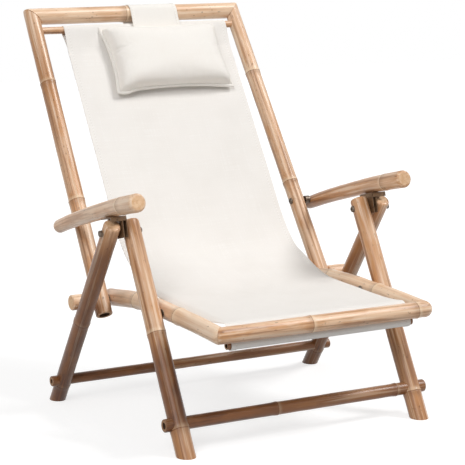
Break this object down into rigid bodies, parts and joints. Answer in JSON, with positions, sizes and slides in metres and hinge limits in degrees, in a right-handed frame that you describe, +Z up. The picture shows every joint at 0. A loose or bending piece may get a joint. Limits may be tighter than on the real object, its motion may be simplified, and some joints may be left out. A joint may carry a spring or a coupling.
{
  "type": "folding recliner",
  "caption": "Folding bamboo recliner with crossed legs, mitred seat and back frames, armrests on steel brackets, a canvas sling and a strapped head pillow.",
  "frame": {"origin": "on the floor under the middle of the chair's overall box", "axes": "+X across the seat to the right as seen from the front, +Y to the rear, +Z up"},
  "size_m": [0.7798, 0.9652, 0.9271],
  "materials": {
    "bamboo": "honey bamboo under a satin clear varnish",
    "dark_bamboo": "smoked darker bamboo under a satin clear varnish",
    "canvas": "off-white plain-woven canvas",
    "pillow_cotton": "cream cotton with a piped seam",
    "bracket_steel": "dark brown painted sheet steel",
    "zinc_steel": "zinc-plated steel"
  },
  "bodies": {
    "front_legs": {"front_leg_left": "bamboo", "front_leg_right": "bamboo", "front_stretcher": "dark_bamboo", "leg_pivot_bolt_left": "zinc_steel", "leg_pivot_bolt_right": "zinc_steel", "leg_pivot_nut_left": "zinc_steel", "leg_pivot_nut_right": "zinc_steel", "leg_pivot_spacer_left": "zinc_steel", "leg_pivot_spacer_right": "zinc_steel", "seat_pivot_screw_left": "zinc_steel", "seat_pivot_screw_right": "zinc_steel", "seat_pivot_washer_left": "zinc_steel", "seat_pivot_washer_right": "zinc_steel"},
    "rear_legs": {"rear_leg_left": "dark_bamboo", "rear_leg_right": "dark_bamboo", "rear_stretcher": "dark_bamboo"},
    "arm_left": {"arm_bracket_left": "bracket_steel", "armrest_left": "bamboo", "bracket_screw_front_left": "zinc_steel", "bracket_screw_rear_left": "zinc_steel"},
    "arm_right": {"arm_bracket_right": "bracket_steel", "armrest_right": "bamboo", "bracket_screw_front_right": "zinc_steel", "bracket_screw_rear_right": "zinc_steel"},
    "seat": {"back_pivot_nut_left": "zinc_steel", "back_pivot_nut_right": "zinc_steel", "back_pivot_screw_left": "zinc_steel", "back_pivot_screw_right": "zinc_steel", "back_pivot_washer_left": "zinc_steel", "back_pivot_washer_right": "zinc_steel", "canvas_bend": "canvas", "canvas_front_fold": "canvas", "canvas_front_sleeve": "canvas", "canvas_seat": "canvas", "front_canvas_rod": "dark_bamboo", "peg_left": "bamboo", "peg_right": "bamboo", "seat_front_bar": "bamboo", "seat_rail_left": "bamboo", "seat_rail_right": "bamboo"},
    "back": {"arm_pivot_screw_left": "zinc_steel", "arm_pivot_screw_right": "zinc_steel", "arm_pivot_spacer_left": "zinc_steel", "arm_pivot_spacer_right": "zinc_steel", "back_pole_left": "bamboo", "back_pole_right": "bamboo", "canvas_back": "canvas", "canvas_top_sleeve": "canvas", "pillow": "pillow_cotton", "pillow_strap": "pillow_cotton", "top_bar": "bamboo", "top_canvas_rod": "dark_bamboo"}
  },
  "joints": [
    {"name": "seat_fold", "type": "hinge", "parent": "front_legs", "child": "seat", "pos_m": [0, -0.23531, 0.28367], "axis": [-1, 0, 0], "range_deg": [0, 86]},
    {"name": "back_fold", "type": "hinge", "parent": "seat", "child": "back", "pos_m": [0, 0.04271, 0.2657], "axis": [-1, 0, 0], "range_deg": [-86, 0], "deforming": ["canvas_bend"]},
    {"name": "rear_fold", "type": "hinge", "parent": "front_legs", "child": "rear_legs", "pos_m": [0, -0.1338, 0.456], "axis": [-1, 0, 0], "range_deg": [0, 58.5]},
    {"name": "arm_left_fold", "type": "hinge", "parent": "front_legs", "child": "arm_left", "pos_m": [0, -0.1338, 0.456], "axis": [-1, 0, 0], "range_deg": [0, 86]},
    {"name": "arm_right_fold", "type": "hinge", "parent": "front_legs", "child": "arm_right", "pos_m": [0, -0.1338, 0.456], "axis": [-1, 0, 0], "range_deg": [0, 86]}
  ],
  "couplings": [
    {"joint": "back_fold", "follows": "seat_fold", "ratio": -1},
    {"joint": "rear_fold", "follows": "seat_fold", "ratio": 0.68},
    {"joint": "arm_left_fold", "follows": "seat_fold", "ratio": 1},
    {"joint": "arm_right_fold", "follows": "seat_fold", "ratio": 1}
  ]
}
